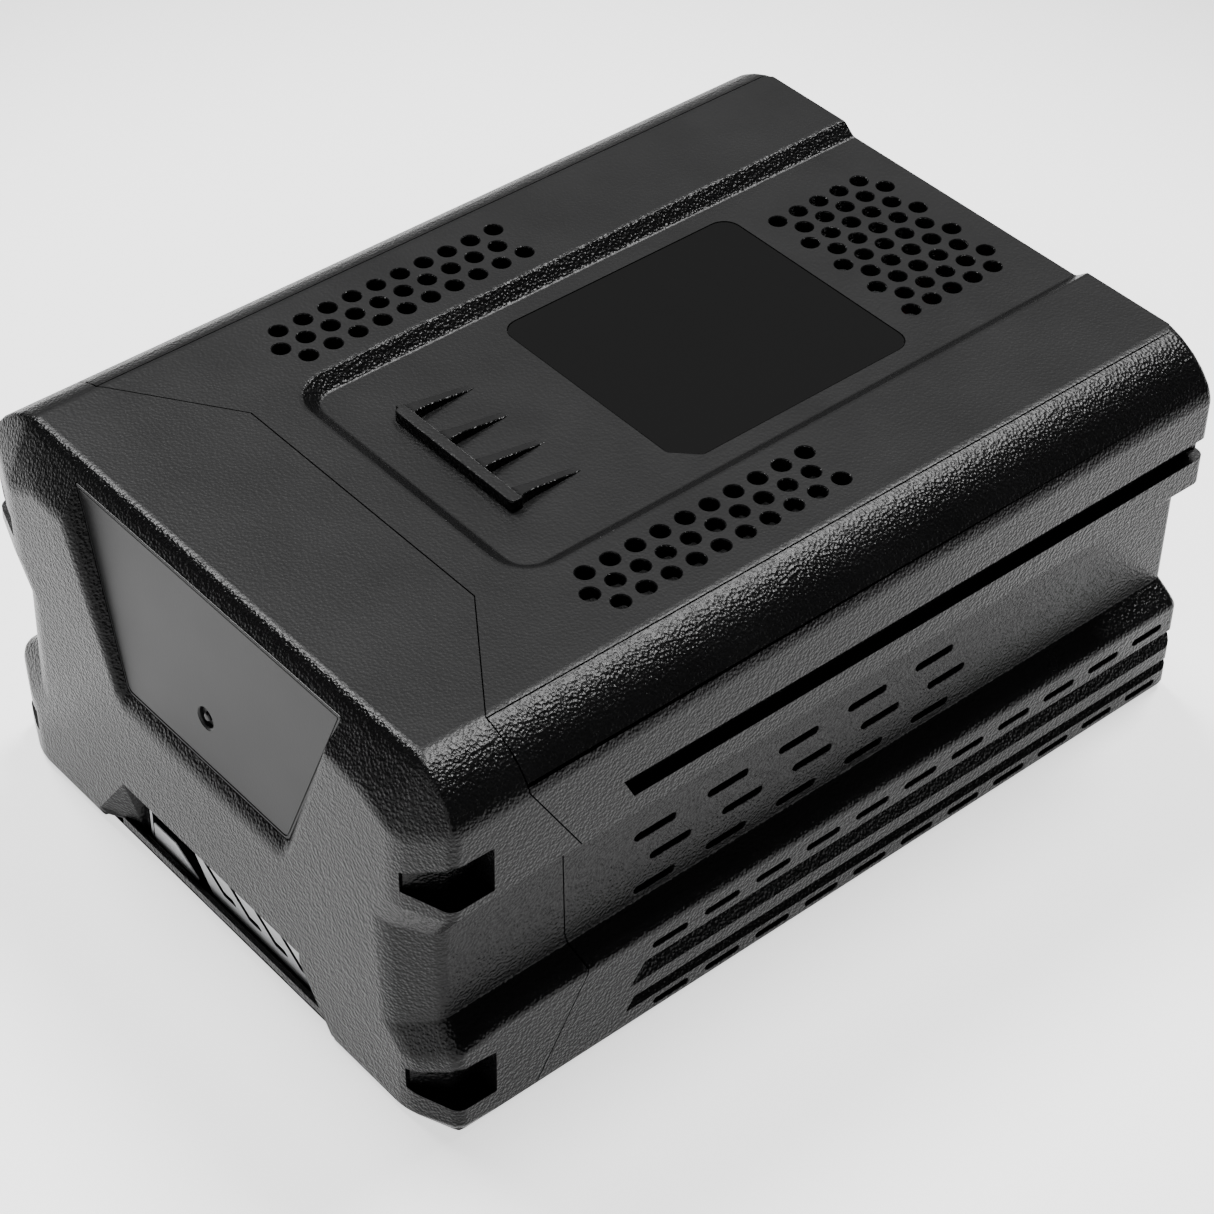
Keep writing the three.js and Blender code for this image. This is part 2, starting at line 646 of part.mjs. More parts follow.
const upperInsulator = blockSlab(INSULATOR_FOOT, INSULATOR_FOOT + 0.6).subtract(
  atPosts(CELL_HEAD - 1, BOARD_FOOT, 3.2),
);
addPiece("upper_insulator", upperInsulator, foamGrey);

// ---------- electronics and leads ----------
const BOARD_FRONT = 12;
const BOARD_REAR = 66;
const BOARD_TOP = BOARD_FOOT + 1.6;
const boardParts = [
  box(-28, -14, 16, 30, BOARD_TOP - 0.2, BOARD_TOP + 1.8),
  box(-26, 26, 52, 60, BOARD_TOP - 0.2, BOARD_TOP + 4),
  box(14, 28, 20, 28, BOARD_TOP - 0.2, BOARD_TOP + 3),
];
const bareBoard = box(-36, 36, BOARD_FRONT, BOARD_REAR, BOARD_FOOT, BOARD_TOP);
addPiece("control_board", bareBoard.add(allOf(boardParts)), boardGreen);
addPiece("fuse", box(-6, 6, 34, 40, BOARD_TOP + SEAM, BOARD_TOP + 3.4), zincSteel);
const thermistor = cylinderZGeometry(10, -32, INSULATOR_FOOT + 0.9, INSULATOR_FOOT + 2.4, 2, 10);
addPiece("thermistor", solid(thermistor), nylonBlack);

// A ribbon up the front of the cell block and back over its top, from the gauge board to the control board.
const RIBBON_Y = -87.3;
const RIBBON_Z = 71.6;
const ribbon = prismX(
  [
    [RIBBON_Y, 6],
    [RIBBON_Y + 0.5, 6],
    [RIBBON_Y + 0.5, RIBBON_Z],
    [BOARD_FRONT - SEAM, RIBBON_Z],
    [BOARD_FRONT - SEAM, BOARD_TOP],
    [BOARD_FRONT - SEAM - 0.5, BOARD_TOP],
    [BOARD_FRONT - SEAM - 0.5, RIBBON_Z + 0.5],
    [RIBBON_Y, RIBBON_Z + 0.5],
  ],
  -4,
  4,
);
addPiece("gauge_lead", ribbon, leadBlack);

// The rear contact block, set back behind its window, and the sprung contacts in its slots.
const BLOCK_FACE = 90;
const BLOCK_BACK = 81.5;
const SLOT_PITCH = 12;
const SLOT_HALF = 1.8;
const SLOT_FLOOR = BLOCK_BACK + 2;
const slotIndices = [0, 1, 2, 3, 4];
const slotX = (index) => (index - 2) * SLOT_PITCH;
const contactSlot = (index, half, y0) =>
  box(slotX(index) - half, slotX(index) + half, y0, BLOCK_FACE + 1, SOCKET_FOOT + 3, SOCKET_HEAD - 3);
const tailHole = (index) =>
  box(slotX(index) - 1, slotX(index) + 1, BLOCK_BACK - 1, SLOT_FLOOR + 1, 41.4, 46.6);
const BLOCK_HALF = SOCKET_HALF + 2;
const terminalBlock = box(-BLOCK_HALF, BLOCK_HALF, BLOCK_BACK, BLOCK_FACE, SOCKET_FOOT - 2, SOCKET_HEAD + 2)
  .subtract(allOf(slotIndices.map((index) => contactSlot(index, SLOT_HALF, SLOT_FLOOR))))
  .subtract(allOf(slotIndices.map(tailHole)));
addPiece("terminal_block", terminalBlock, nylonBlack);
function contact(index) {
  const x = slotX(index);
  const [foot, head] = [SOCKET_FOOT + 3.4, SOCKET_HEAD - 3.4];
  const [outer, inner] = [SLOT_HALF - SEAM, SLOT_HALF - SEAM - 0.6];
  return box(x - outer, x + outer, SLOT_FLOOR + SEAM, BLOCK_FACE - 0.5, foot, head)
    .subtract(box(x - inner, x + inner, SLOT_FLOOR + 1, BLOCK_FACE, foot - 1, head + 1))
    .add(box(x - 0.6, x + 0.6, BLOCK_BACK - 0.2, SLOT_FLOOR + 0.8, 42, 46));
}
slotIndices.forEach((index) => addPiece("terminal_" + (index + 1), contact(index), brass));

// Flat leads from the control board's rear edge down to the outer contacts' tails.
function lead(x) {
  const y = BLOCK_BACK - 1.1;
  const upright = box(x - 3, x + 3, y, y + 0.6, 41, BOARD_TOP + 1.2);
  return upright.add(box(x - 3, x + 3, BOARD_REAR - 4, y + 0.6, BOARD_TOP + 0.6, BOARD_TOP + 1.2));
}
addPiece("negative_lead", lead(slotX(0)), leadBlack);
addPiece("positive_lead", lead(slotX(4)), leadRed);

// ---------- pads and screws ----------
const blockFront = CELLS_CENTRE_Y - HOLDER_HALF_Y;
const blockRear = CELLS_CENTRE_Y + HOLDER_HALF_Y;
addPiece("front_pad", box(-44, -8, CAVITY_FRONT + SEAM, blockFront - SEAM, 24, 60), foamGrey);
addPiece("rear_pad", box(-44, 44, blockRear + SEAM, CAVITY_REAR - SEAM, 6, 28), foamGrey);
screwPlaces.forEach(([x, y], index) => addPiece("housing_screw_" + (index + 1), screw(x, y), zincSteel));

export default pack;
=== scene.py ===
"""Looks of a slide-in lithium-ion battery pack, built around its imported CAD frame. Lengths are in
millimetres in the helpers below and become metres when a mesh is made."""

import math

import bmesh
import bpy
from mathutils import Matrix, Vector


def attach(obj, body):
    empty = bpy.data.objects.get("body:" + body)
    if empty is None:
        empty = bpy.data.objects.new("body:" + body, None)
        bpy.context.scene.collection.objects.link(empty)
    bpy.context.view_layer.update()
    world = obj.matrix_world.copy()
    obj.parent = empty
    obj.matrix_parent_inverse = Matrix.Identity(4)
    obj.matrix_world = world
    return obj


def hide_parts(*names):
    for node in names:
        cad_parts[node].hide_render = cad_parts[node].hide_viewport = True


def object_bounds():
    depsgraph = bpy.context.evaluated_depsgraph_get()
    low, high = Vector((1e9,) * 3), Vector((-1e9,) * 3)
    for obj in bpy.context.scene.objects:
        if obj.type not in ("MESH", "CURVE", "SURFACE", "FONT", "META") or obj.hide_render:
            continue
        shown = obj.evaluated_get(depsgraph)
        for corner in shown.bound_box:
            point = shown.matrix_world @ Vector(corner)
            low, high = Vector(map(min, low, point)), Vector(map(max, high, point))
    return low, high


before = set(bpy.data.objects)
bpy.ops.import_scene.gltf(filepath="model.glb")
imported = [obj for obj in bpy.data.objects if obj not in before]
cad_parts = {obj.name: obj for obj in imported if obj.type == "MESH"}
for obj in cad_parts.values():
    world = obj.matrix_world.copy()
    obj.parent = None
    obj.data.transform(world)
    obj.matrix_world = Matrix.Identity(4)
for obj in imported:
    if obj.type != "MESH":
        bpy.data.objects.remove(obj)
cad_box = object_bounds()
MM = 0.001

# ---------- driving dimensions ----------
high = cad_box[1] / MM
HALF_LENGTH = high.y
HEIGHT = high.z
HALF_SKIRT = high.x
HALF_WAIST = HALF_SKIRT - 5.4
HALF_PLATE = 59.2
SEAM = 0.3
WALL = 2.5
FAR = 150.0

# The front leans back above BROW. The crease along each side falls slightly towards the rear.
BROW = 77.6
BROW_LEAN = 0.63
CREASE = 57.3
CREASE_FALL = 0.0128
RECESS_FLOOR = 85.0
LABEL_BED = 84.0
CAVITY_ROOF = 82.6


# ---------- mesh helpers ----------
def as_object(name, bm):
    """An object from a bmesh in millimetres."""
    bmesh.ops.scale(bm, vec=(MM, MM, MM), verts=bm.verts)
    bmesh.ops.recalc_face_normals(bm, faces=bm.faces)
    mesh = bpy.data.meshes.new(name)
    bm.to_mesh(mesh)
    bm.free()
    piece = bpy.data.objects.new(name, mesh)
    bpy.context.scene.collection.objects.link(piece)
    return piece


def add_loft(bm, rings):
    """Adds a closed skin through rings of (x, y, z), and returns its vertices ring by ring."""
    rows = [[bm.verts.new(point) for point in ring] for ring in rings]
    count = len(rings[0])
    for lower, upper in zip(rows, rows[1:]):
        for i in range(count):
            j = (i + 1) % count
            bm.faces.new((lower[i], lower[j], upper[j], upper[i]))
    bm.faces.new(rows[0][::-1])
    bm.faces.new(rows[-1])
    return rows


def add_prism(bm, outline, place, start, end):
    """Adds an outline of (u, v) run from start to end; place(u, v, w) gives the point."""
    add_loft(bm, [[place(u, v, w) for u, v in outline] for w in (start, end)])


# Where an outline's (u, v) and its run w go, for a prism along each axis.
def along_x(u, v, w):
    return (w, u, v)


def along_y(u, v, w):
    return (u, w, v)


def along_z(u, v, w):
    return (u, v, w)


def add_box(bm, x0, x1, y0, y1, z0, z1):
    add_prism(bm, [(x0, y0), (x1, y0), (x1, y1), (x0, y1)], along_z, z0, z1)


def box(name, *sides):
    """A box between x0, x1, y0, y1, z0 and z1, as an object."""
    bm = bmesh.new()
    add_box(bm, *sides)
    return as_object(name, bm)


def prism(name, outline, place, start, end):
    """An outline run from start to end, as an object."""
    bm = bmesh.new()
    add_prism(bm, outline, place, start, end)
    return as_object(name, bm)


def rounded(points, radii, steps=5):
    """A closed outline with its corners turned into arcs; radii is one number or one for each corner."""
    result = []
    count = len(points)
    for i, point in enumerate(points):
        radius = radii[i] if isinstance(radii, (list, tuple)) else radii
        here = Vector(point)
        if radius <= 0:
            result.append(tuple(here))
            continue
        before, after = Vector(points[i - 1]) - here, Vector(points[(i + 1) % count]) - here
        a, b = before.normalized(), after.normalized()
        half = a.angle(b) / 2
        reach = min(radius / math.tan(half), before.length * 0.49, after.length * 0.49)
        radius = reach * math.tan(half)
        centre = here + (a + b).normalized() * (radius / math.sin(half))
        start, end = here + a * reach - centre, here + b * reach - centre
        first = math.atan2(start.y, start.x)
        swing = (math.atan2(end.y, end.x) - first + math.pi) % (2 * math.pi) - math.pi
        for k in range(steps + 1):
            angle = first + swing * k / steps
            result.append((centre.x + radius * math.cos(angle), centre.y + radius * math.sin(angle)))
    return result


def circle(u, v, radius, sides):
    """The corners of a regular polygon that stands for a circle."""
    turns = [2 * math.pi * k / sides for k in range(sides)]
    return [(u + radius * math.cos(turn), v + radius * math.sin(turn)) for turn in turns]


def mirrored_ring(right):
    """A whole ring from its right half, which runs from front to rear."""
    return right + [(-x, y, z) for x, y, z in reversed(right)]


def modify(piece, kind, **settings):
    """Applies one modifier to a piece."""
    modifier = piece.modifiers.new(kind, kind)
    for key, value in settings.items():
        setattr(modifier, key, value)
    with bpy.context.temp_override(object=piece, active_object=piece, selected_objects=[piece]):
        bpy.ops.object.modifier_apply(modifier=modifier.name)


def boolean(piece, tool, operation="DIFFERENCE"):
    """Cuts a tool from a piece, or joins or crosses the two, and throws the tool away."""
    modify(piece, "BOOLEAN", object=tool, operation=operation, solver="EXACT")
    bpy.data.objects.remove(tool)


def copy_of(piece, name):
    """A copy of a piece with a mesh of its own."""
    twin = piece.copy()
    twin.data = piece.data.copy()
    twin.name = name
    bpy.context.scene.collection.objects.link(twin)
    return twin


def shade(piece, angle=28.0):
    """Smooth shading with sharp edges above an angle, and flat faces kept flat."""
    mesh = piece.data
    closest = 2e-6
    bm = bmesh.new()
    bm.from_mesh(mesh)
    bmesh.ops.remove_doubles(bm, verts=bm.verts, dist=closest)
    bmesh.ops.dissolve_degenerate(bm, edges=bm.edges, dist=closest)
    bm.to_mesh(mesh)
    bm.free()
    for polygon in mesh.polygons:
        polygon.use_smooth = True
    mesh.set_sharp_from_angle(angle=math.radians(angle))
    modify(piece, "WEIGHTED_NORMAL", keep_sharp=True, weight=80)


# ---------- the outer body ----------
def brow(z):
    """The y of the sloped brow at a height."""
    return -HALF_LENGTH + BROW_LEAN * (z - BROW)


def crease(y, lift=0.0):
    """The height of the side's crease at a y."""
    return CREASE + lift - CREASE_FALL * y


def outer_body():
    """The whole outside as one skin: each ring has a point F on the flat front, A and B at the two ends
    of the chamfered corner, D on the side just behind it, and C at the rear corner."""
    rear, side, waist, front = HALF_LENGTH, HALF_SKIRT, HALF_WAIST, -HALF_LENGTH
    # Each row, from the base up: F, A, B, D and C.
    rows = [
        ((43, front + 0.9, 0.05), (60.2, front + 0.9, 0.05), (70.4, -92.9, 0.05), (70.5, -84, 0.05),
         (70.5, rear - 0.9, 0.05)),
        ((43, front, 1.5), (61, front, 1.5), (side, -93.4, 2.2), (side, -84, 1.5), (side, rear, 1.5)),
        ((43, front, 16.3), (61.9, front, 16.3), (side, -93.6, 22.3), (side, -84, 23.8),
         (side, rear, 23.8)),
        ((43, front, 21.4), (56.8, front, 21.4), (waist, -92.4, 26.9), (waist, -84, 27.2),
         (waist, rear, 27.2)),
        ((43, front, 48), (55.6, front, 48), (waist, -92.4, 49), (waist, -80, crease(-80, -0.7)),
         (waist, rear, crease(rear, -0.7))),
        ((43, front, 55.4), (59.5, front, 55.4), (side, -94.2, 57.6), (side, -80, crease(-80)),
         (side, rear, crease(rear))),
        ((51, front, BROW), (60.6, front, 72.8), (side, -93.2, 78.2), (side, -84, 78), (side, rear, 77.8)),
        ((51, brow(79.9), 79.9), (60.4, -95.5, 79.4), (70.4, -92.9, 79.9), (70.4, -84, 79.9),
         (70.4, rear, 79.9)),
        ((51, brow(82.4), 82.4), (60.2, -94.3, 82), (68.4, -92.4, 82.4), (68.4, -84, 82.4),
         (68.4, rear, 82.4)),
        ((51, brow(84.6), 84.6), (60, -93.2, 84.4), (65.8, -92.1, 84.6), (65.8, -84, 84.6),
         (65.8, rear, 84.6)),
        ((51, brow(86.2), 86.2), (59.4, -92.4, 86.1), (63, -91.9, 86.2), (63, -84, 86.2),
         (63, rear, 86.2)),
        ((51, brow(87.1) + 0.4, 87.1), (58.4, -91.5, 87.1), (60.6, -91.3, 87.1), (60.6, -84, 87.1),
         (60.6, rear, 87.1)),
        ((51, brow(HEIGHT) + 1.3, HEIGHT), (56.4, -90.4, HEIGHT), (58.4, -90.2, HEIGHT),
         (58.4, -84, HEIGHT), (58.4, rear, HEIGHT)),
    ]
    # The width of the bevel along each ring, and up each column of the skin.
    ring_bevels = [0.3, 0.3, 1.2, 0.3, 0.3, 0.35, 1.4, 0, 0, 0, 0, 0, 0.5]
    columns = {1: 2.4, 8: 2.4, 2: 1.8, 7: 1.8, 4: 2.0, 5: 2.0}
    widest, shoulder_fade = 2.4, 0.35
    first_sloped, front_rings = 6, (2, 3, 4, 5)
    bm = bmesh.new()
    weight = bm.edges.layers.float.new("bevel_weight_edge")
    grid = add_loft(bm, [mirrored_ring(list(row)) for row in rows])
    count = len(grid[0])

    def weigh(a, b, width):
        edge = bm.edges.get((a, b))
        edge[weight] = width / widest

    for r in range(len(grid) - 1):
        for column, width in columns.items():
            fade = shoulder_fade if r >= first_sloped and column in (1, 8, 2, 7) else 1.0
            weigh(grid[r][column], grid[r + 1][column], width * fade)
    for r, width in enumerate(ring_bevels):
        for i in range(count):
            j = (i + 1) % count
            on_front_wall = {i, j} <= {0, 1, 8, 9}
            if width and not (on_front_wall and r in front_rings):
                weigh(grid[r][i], grid[r][j], width)
    body = as_object("outer_body", bm)
    modify(body, "BEVEL", width=widest * MM, segments=4, limit_method="WEIGHT", use_clamp_overlap=False)
    return body


def cavity():
    """The space inside, with a chamfered front corner at every level."""
    front, rear, chamfer = -90.5, HALF_LENGTH - WALL, 16
    wide, waist = 66.2, HALF_WAIST - WALL
    # Each level: height and half width.
    levels = [
        (2.5, wide), (21.5, wide), (24, waist), (CREASE + WALL, waist), (CREASE + WALL + 0.2, wide),
        (75, wide), (79, 63.4), (CAVITY_ROOF, 57),
    ]
    rings = []
    for z, half in levels:
        rings.append(mirrored_ring([(half - chamfer, front, z), (half, front + chamfer, z), (half, rear, z)]))
    bm = bmesh.new()
    add_loft(bm, rings)
    # The hollow under each raised side of the top, beside the channel.
    for x0, x1 in ((-56, -37), (37, 56)):
        add_box(bm, x0, x1, -48, rear, CAVITY_ROOF - 1, 85.2)
    return as_object("cavity", bm)


# ---------- cuts ----------
def channel():
    """The shallow channel along the top, open at the rear. Its wall is an S: a foot fillet, a straight slope
    and a rounded brim."""
    middle_half, middle_front, corner = 34.1, -48.1, 7.0
    depth = HEIGHT - RECESS_FLOOR
    radius, steepest = 2.0, math.radians(39)
    steps, corner_steps = 6, 8
    straight = depth - 2 * radius * (1 - math.cos(steepest))
    span = 2 * radius * math.sin(steepest) + straight / math.tan(steepest)
    # Each level: height above the floor, and how far the wall has moved out from its middle.
    foot = [(radius * (1 - math.cos(a)), radius * math.sin(a) - span / 2)
            for a in (steepest * k / steps for k in range(steps + 1))]
    brim = [(depth - rise, -out) for rise, out in reversed(foot)]
    levels = foot + brim + [(depth + 2, span / 2)]
    rings = []
    for rise, out in levels:
        half, y, bend = middle_half + out, middle_front - out, corner + out
        right = []
        for k in range(corner_steps + 1):
            angle = math.pi / 2 * k / corner_steps
            right.append((half - bend * (1 - math.sin(angle)), y + bend * (1 - math.cos(angle)),
                          RECESS_FLOOR + rise))
        right.append((half, HALF_LENGTH + 5, RECESS_FLOOR + rise))
        rings.append(mirrored_ring(right))
    bm = bmesh.new()
    add_loft(bm, rings)
    return as_object("channel", bm)


def label_outline(inset):
    """The label's outline from above, with one corner clipped."""
    half, front, rear, clip = 27.6 - inset, -3.5 + inset, 57 - inset, 5
    corners = [(-half, front), (half - clip, front), (half, front + clip), (half, rear), (-half, rear)]
    return rounded(corners, [4, 1.5, 1.5, 4, 4], steps=8)


def add_vent(bm, x, y, brim):
    """A round hole whose mouth is eased."""
    radius, sides, mouth = 1.8, 24, 0.28
    levels = [(CAVITY_ROOF - 2, radius), (brim - 0.4, radius), (brim - 0.16, radius + 0.08),
              (brim, radius + mouth), (brim + 1, radius + mouth)]
    add_loft(bm, [[(u, v, z) for u, v in circle(x, y, r, sides)] for z, r in levels])


def vents():
    """Three staggered rows on each side of the channel, and a staggered field in its rear."""
    bm = bmesh.new()
    pitch, start = 6, -39.5
    for k in range(10):
        for row, x in enumerate((51.4, 46.4, 41.4)):
            y = start + pitch * k - (pitch / 2 if row == 1 else 0)
            add_vent(bm, x, y, HEIGHT)
            add_vent(bm, -x, y, HEIGHT)
    rear_pitch, rear_start, row_gap = 5.78, 64.1, 4.9
    for row in range(-4, 5):
        for k in range(5):
            add_vent(bm, row * row_gap, rear_start + rear_pitch * (k + (row % 2) * 0.5), RECESS_FLOOR)
    return as_object("vents", bm)


def add_slot(bm, y, z, length, height, face, sign):
    """A slot with round ends through a side wall, its mouth eased."""
    steps = 6

    def outline(grow):
        r = height / 2 + grow
        reach = length / 2 - height / 2
        points = []
        for side, turn in ((1, -math.pi / 2), (-1, math.pi / 2)):
            for k in range(steps + 1):
                angle = turn + math.pi * k / steps
                points.append((y + side * reach + r * math.cos(angle), z + r * math.sin(angle)))
        return points

    rings = []
    for depth, grow in ((6, 0), (0.25, 0), (0.07, 0.05), (0, 0.18), (-2, 0.18)):
        rings.append([(sign * (face - depth), u, v) for u, v in outline(grow)])
    add_loft(bm, rings)


def side_slots():
    """On each side, three short staggered rows in the waist and two long rows in the skirt."""
    bm = bmesh.new()
    waist_pitch, skirt_pitch = 18, 13.15
    for sign in (-1, 1):
        for first, z in ((-42.6, 43.9), (-38.6, 36.8), (-42.4, 29.8)):
            for k in range(5):
                add_slot(bm, first + waist_pitch * k, z, 10.2, 1.8, HALF_WAIST, sign)
        for k in range(11):
            add_slot(bm, -42.7 + skirt_pitch * k, 19.3, 8.8, 1.5, HALF_SKIRT, sign)
            add_slot(bm, -42 + skirt_pitch * k, 3.2, 8.8, 1.4, HALF_SKIRT, sign)
    return as_object("side_slots", bm)


def add_groove(bm, sign, profile, ends):
    """A groove along a side: profile is (depth, z) from its top edge in and down to its foot, and ends gives
    the y of its front at its top and at its foot."""
    top, foot = profile[0][1], profile[-1][1]
    rings = []
    outside = [(-4, foot), (-4, top)]
    for rear in (False, True):
        ring = []
        for depth, z in profile + outside:
            share = (top - z) / (top - foot)
            y = HALF_LENGTH + 5 if rear else ends[0] + (ends[1] - ends[0]) * share
            ring.append((sign * (HALF_SKIRT - depth), y, z))
        rings.append(ring)
    add_loft(bm, rings)


def grooves():
    """The guide groove on each side, and the two finer grooves in the skirt below it."""
    # Each groove: its profile as (depth, z), and the y of its front end at its top and at its foot.
    shapes = [
        ([(-0.2, 67.9), (0, 67.75), (0.2, 67.6), (2.7, 67.5), (2.7, 63), (0.25, 62.8), (0, 62.7),
          (-0.2, 62.5)], (-55.5, -52.8)),
        ([(-0.2, 16.6), (0, 16.45), (0.15, 16.3), (2.7, 16.2), (2.7, 15.2), (0.1, 11.7),
          (-0.2, 11.4)], (-48.8, -52.6)),
        ([(-0.2, 8.5), (0, 8.35), (0.15, 8.2), (1.9, 8.1), (1.9, 7.3), (0.1, 5.4),
          (-0.2, 5.1)], (-51.4, -53.6)),
    ]
    bm = bmesh.new()
    for sign in (-1, 1):
        for profile, ends in shapes:
            add_groove(bm, sign, profile, ends)
    return as_object("grooves", bm)


def add_pocket(bm, sign, rear_z, bend_z, front_z):
    """A pocket round a front corner: from its rear wall, round the bend, fading out on the flat front."""
    # Each station: inner and outer (x, y), and its foot and head.
    stations = [
        ((66, -84.7), (76, -84.7), rear_z),
        ((66, -90.8), (77, -97), bend_z),
        ((60.8, -96.6), (62.2, -104), front_z),
    ]
    rings = []
    for inner, outer, (foot, head) in stations:
        corners = [(*inner, foot), (*outer, foot), (*outer, head), (*inner, head)]
        rings.append([(sign * x, y, z) for x, y, z in corners])
    add_loft(bm, rings)


def corner_pockets():
    """An upper and a lower pocket at each front corner."""
    bm = bmesh.new()
    for sign in (-1, 1):
        add_pocket(bm, sign, (60, 70.4), (60, 70.7), (59.8, 64.6))
        add_pocket(bm, sign, (6.4, 17.2), (6.7, 18.2), (8, 13.2))
    return as_object("corner_pockets", bm)


def pocket_nubs():
    """A small round nub near the top of each pocket's rear wall."""
    bm = bmesh.new()
    for x in (-67.9, 67.9):
        for z in (67.7, 14.6):
            place = Matrix.Translation((x, -84.9, z))
            bmesh.ops.create_icosphere(bm, subdivisions=2, radius=0.75, matrix=place)
    return as_object("pocket_nubs", bm)


# ---------- the front panel's bed and the gauge's recess ----------
PANEL_FOOT = 43.4
PANEL_HEAD = 84.4
PANEL_THICKNESS = 1.2
GATE_HEIGHT = 55.2


def panel_plane(z):
    """The y of the panel's face at a height."""
    return -96.4 + 0.0622 * (z - PANEL_FOOT)


def panel_half(z):
    """Half the panel's width at a height."""
    return 25.9 + 0.373 * (z - PANEL_FOOT)


def panel_ring(foot, head, grow, corner, offset=0.0, forward=0.0):
    """One outline of the panel with rounded lower corners: offset from the panel's plane, or a share of the
    way forward from it to the front face."""
    outline = rounded([
        (-panel_half(foot) - grow, foot), (panel_half(foot) + grow, foot),
        (panel_half(head) + grow, head), (-panel_half(head) - grow, head),
    ], [corner, corner, 0.3, 0.3])
    ring = []
    for x, z in outline:
        plane = panel_plane(z)
        ring.append((x, plane + offset + (-HALF_LENGTH - plane) * forward, z))
    return ring


def panel_recess():
    """The bed of the front panel, and the walls round it that turn over into an eased lip."""
    bm = bmesh.new()
    head = PANEL_HEAD + SEAM / 2
    # Each wall level: drop of its foot, growth at the sides, corner radius and share of the way forward.
    walls = [(0, 0, 2, 0.0), (0.7, 0.45, 2.4, 0.26), (1.6, 0.95, 3, 0.57), (2.4, 1.4, 3.6, 0.78),
             (3.4, 2.1, 4.3, 0.92), (4.8, 3.1, 5.2, 1.0), (7.2, 5.4, 6.6, 1.1)]
    rings = [panel_ring(PANEL_FOOT, head, 0, 2, offset=PANEL_THICKNESS + SEAM)]
    for drop, grow, corner, forward in walls:
        rings.append(panel_ring(PANEL_FOOT - drop, head, grow, corner, forward=forward))
    add_loft(bm, rings)
    return as_object("panel_recess", bm)


# The gauge's foot is lower than in the CAD, and a raised rim stands on its lip, to match the photo.
GAUGE_FACE = -93.5
GAUGE_HALF = 28.0
GAUGE_FOOT = 0.6
GAUGE_HEAD = 15.0
LIP_FACE = -95.9
WINDOW_FOOT, WINDOW_HEAD = 3.6, 8.8
WINDOW_LEAN, WINDOW_WIDTH = -1.45, 4.8
WINDOW_START, WINDOW_PITCH = -2.8, 8.5


def gauge_scoop():
    """The recess in front of the gauge, whose foot flares towards the front."""
    bed, mouth = GAUGE_FACE - 0.2, -98.8
    rings = []
    # Each ring: its y, the half widths of its foot and head, and the height of its head.
    for y, foot_half, head_half, head in ((bed, 29.4, 29.4, 15.6), (mouth, 41, 29, 17.4)):
        rings.append([(-foot_half, y, GAUGE_FOOT), (foot_half, y, GAUGE_FOOT), (head_half, y, head),
                      (-head_half, y, head)])
    bm = bmesh.new()
    add_loft(bm, rings)
    return as_object("gauge_scoop", bm)


def lip():
    """The raised rim in front of the gauge's foot."""
    base, inner = 0.05, LIP_FACE + 1.1
    profile = [(LIP_FACE + 0.1, base), (inner, base), (inner, 2.45), (LIP_FACE + 0.9, 2.6),
               (LIP_FACE + 0.2, 2.6), (LIP_FACE, 2.4), (LIP_FACE, 0.2)]
    return prism("lip", profile, along_x, -37.5, 37.5)


# ---------- the shell, cut and split along its seams ----------
# The seam between the front cover and the housing, seen from the side as (y, z) from the top down.
SIDE_SEAM = [(-76.6, 95), (-76.6, 78.2), (-65, 58.5), (-64.2, 30), (-62.6, 23.7), (-75.6, 1), (-75.6, -5)]
CHEVRON_SIDE, CHEVRON_TIP, CHEVRON_HALF = -76.6, -58.7, 33.8
PLATE_UNDERSIDE = 80.6
ABOVE = 95


def front_zone(shift):
    """Everything in front of the side seam."""
    outline = [(-120, -5)] + [(y + shift, z) for y, z in reversed(SIDE_SEAM)] + [(-120, ABOVE)]
    return prism("front_zone", outline, along_x, -100, 100)


def chevron_zone(shift, underside):
    """Everything in front of the top plate's pointed front edge, above a height."""
    right = [(100, -120), (100, CHEVRON_SIDE + shift), (HALF_PLATE, CHEVRON_SIDE + shift),
             (CHEVRON_HALF, CHEVRON_TIP + shift)]
    outline = right + [(-x, y) for x, y in reversed(right)]
    return prism("chevron_zone", outline, along_z, underside, ABOVE)


def plate_zone(grow):
    """The width of the top plate, above its underside."""
    half = HALF_PLATE + grow
    return box("plate_zone", -half, half, -FAR, FAR, PLATE_UNDERSIDE - grow, ABOVE)


def make_shell():
    """The hollow, grooved body before it is split."""
    shell = outer_body()
    for tool in (cavity(), channel(), grooves()):
        boolean(shell, tool)
    return shell


def make_front_cover(shell):
    """The part in front of the seams, with the panel's bed, the pockets and the gauge's recess."""
    cover = copy_of(shell, "front_cover_shell")
    zone = front_zone(-SEAM / 2)
    top = chevron_zone(-SEAM / 2, PLATE_UNDERSIDE)
    boolean(top, plate_zone(0), "INTERSECT")
    boolean(zone, top, "UNION")
    boolean(cover, zone, "INTERSECT")
    before_lip = box("before_lip", -39, 39, -102, LIP_FACE, -2, 2)
    opening = box("gauge_opening", -GAUGE_HALF, GAUGE_HALF, -96, -85, GAUGE_FOOT, GAUGE_HEAD)
    for tool in (panel_recess(), corner_pockets(), gauge_scoop(), before_lip, opening):
        boolean(cover, tool)
    for part in (pocket_nubs(), lip()):
        boolean(cover, part, "UNION")
    return cover


def screw_posts(name, levels):
    """Round posts on the screws' places, with a radius at each height."""
    sides = 32
    bm = bmesh.new()
    for x in (-55.6, 55.6):
        for y in (-50, 86):
            add_loft(bm, [[(u, v, z) for u, v in circle(x, y, radius, sides)] for z, radius in levels])
    return as_object(name, bm)


